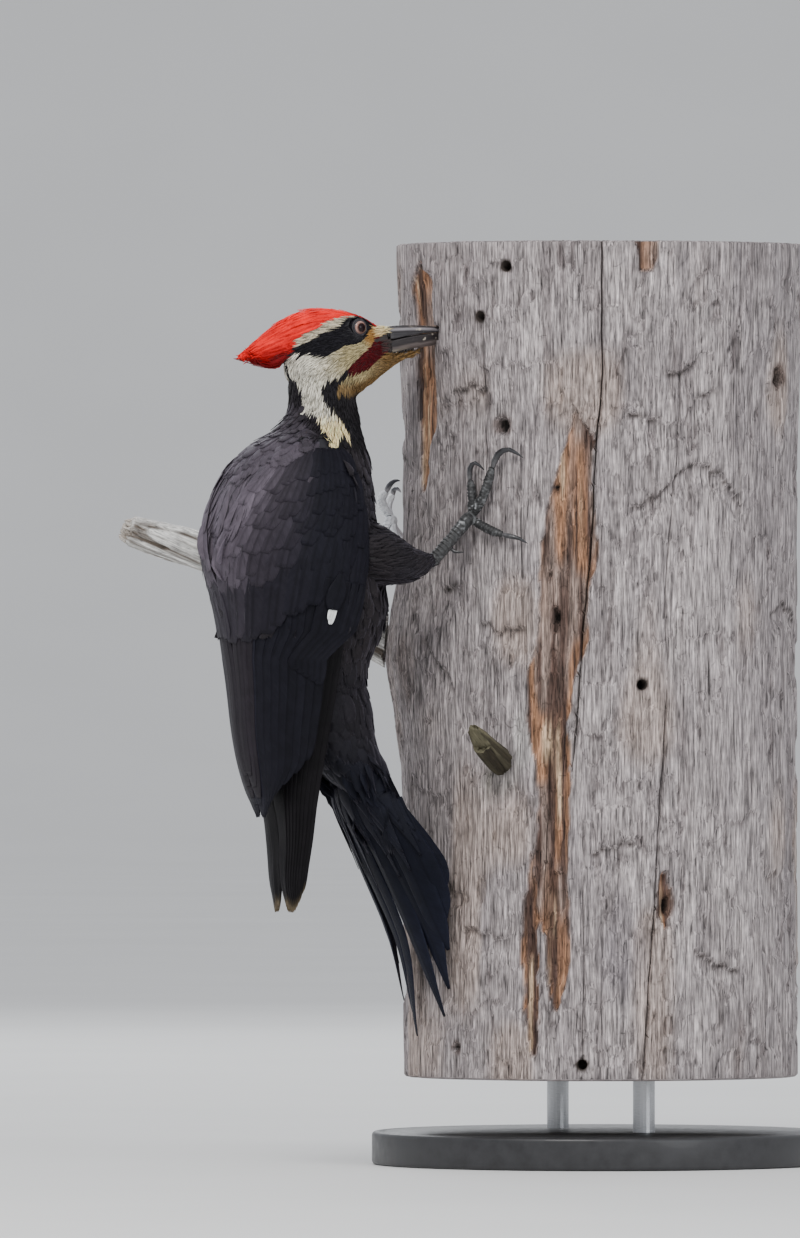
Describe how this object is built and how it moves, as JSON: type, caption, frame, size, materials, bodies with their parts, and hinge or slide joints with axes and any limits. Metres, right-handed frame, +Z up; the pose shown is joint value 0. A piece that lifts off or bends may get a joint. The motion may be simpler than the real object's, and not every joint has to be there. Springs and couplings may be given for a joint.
{
  "type": "pileated woodpecker",
  "caption": "Life-size still model of a male pileated woodpecker clinging to a cut length of dead trunk, bill in a feeding pit, on a plain round stand.",
  "frame": {"origin": "middle of the stand's underside, below the axis of the trunk", "axes": "+Z up, +X the way the bird faces, from its back through the trunk, +Y to the bird's left"},
  "size_m": [0.3686, 0.2594, 0.502],
  "materials": {
    "plumage_black": "black contour feathers with a faint violet-grey sheen",
    "crest_red": "scarlet silky crest feathers",
    "bill_slate": "slate-grey horn, satin",
    "eye": "polished, pale pinkish iris round a dark pupil",
    "leg_skin": "dark grey scaled skin",
    "claw_horn": "dark polished horn",
    "dead_wood": "weathered grey bare trunk wood",
    "bleached_wood": "bleached dead limb",
    "stand_paint": "satin black painted board",
    "stand_steel": "brushed steel rod"
  },
  "bodies": {
    "root": {"stand_base": "stand_paint", "stand_rod_left": "stand_steel", "stand_rod_right": "stand_steel", "perch_log": "dead_wood", "perch_limb": "bleached_wood", "perch_knot_stub": "dead_wood", "neck": "plumage_black", "torso": "plumage_black", "head": "plumage_black", "crest": "crest_red", "eye_left": "eye", "eye_right": "eye", "bill_upper": "bill_slate", "bill_lower": "bill_slate", "wing_left_coverts": "plumage_black", "wing_left_secondaries": "plumage_black", "wing_left_primaries": "plumage_black", "wing_right_coverts": "plumage_black", "wing_right_secondaries": "plumage_black", "wing_right_primaries": "plumage_black", "tail": "plumage_black", "thigh_right": "plumage_black", "shank_right": "leg_skin", "toe_right_outer": "leg_skin", "toe_right_inner": "leg_skin", "toe_right_lower": "leg_skin", "toe_right_hind": "leg_skin", "claw_right_outer": "claw_horn", "claw_right_inner": "claw_horn", "claw_right_lower": "claw_horn", "claw_right_hind": "claw_horn", "thigh_left": "plumage_black", "shank_left": "leg_skin", "toe_left_inner": "leg_skin", "toe_left_outer": "leg_skin", "toe_left_lower": "leg_skin", "toe_left_hind": "leg_skin", "claw_left_inner": "claw_horn", "claw_left_outer": "claw_horn", "claw_left_lower": "claw_horn", "claw_left_hind": "claw_horn"}
  },
  "joints": []
}
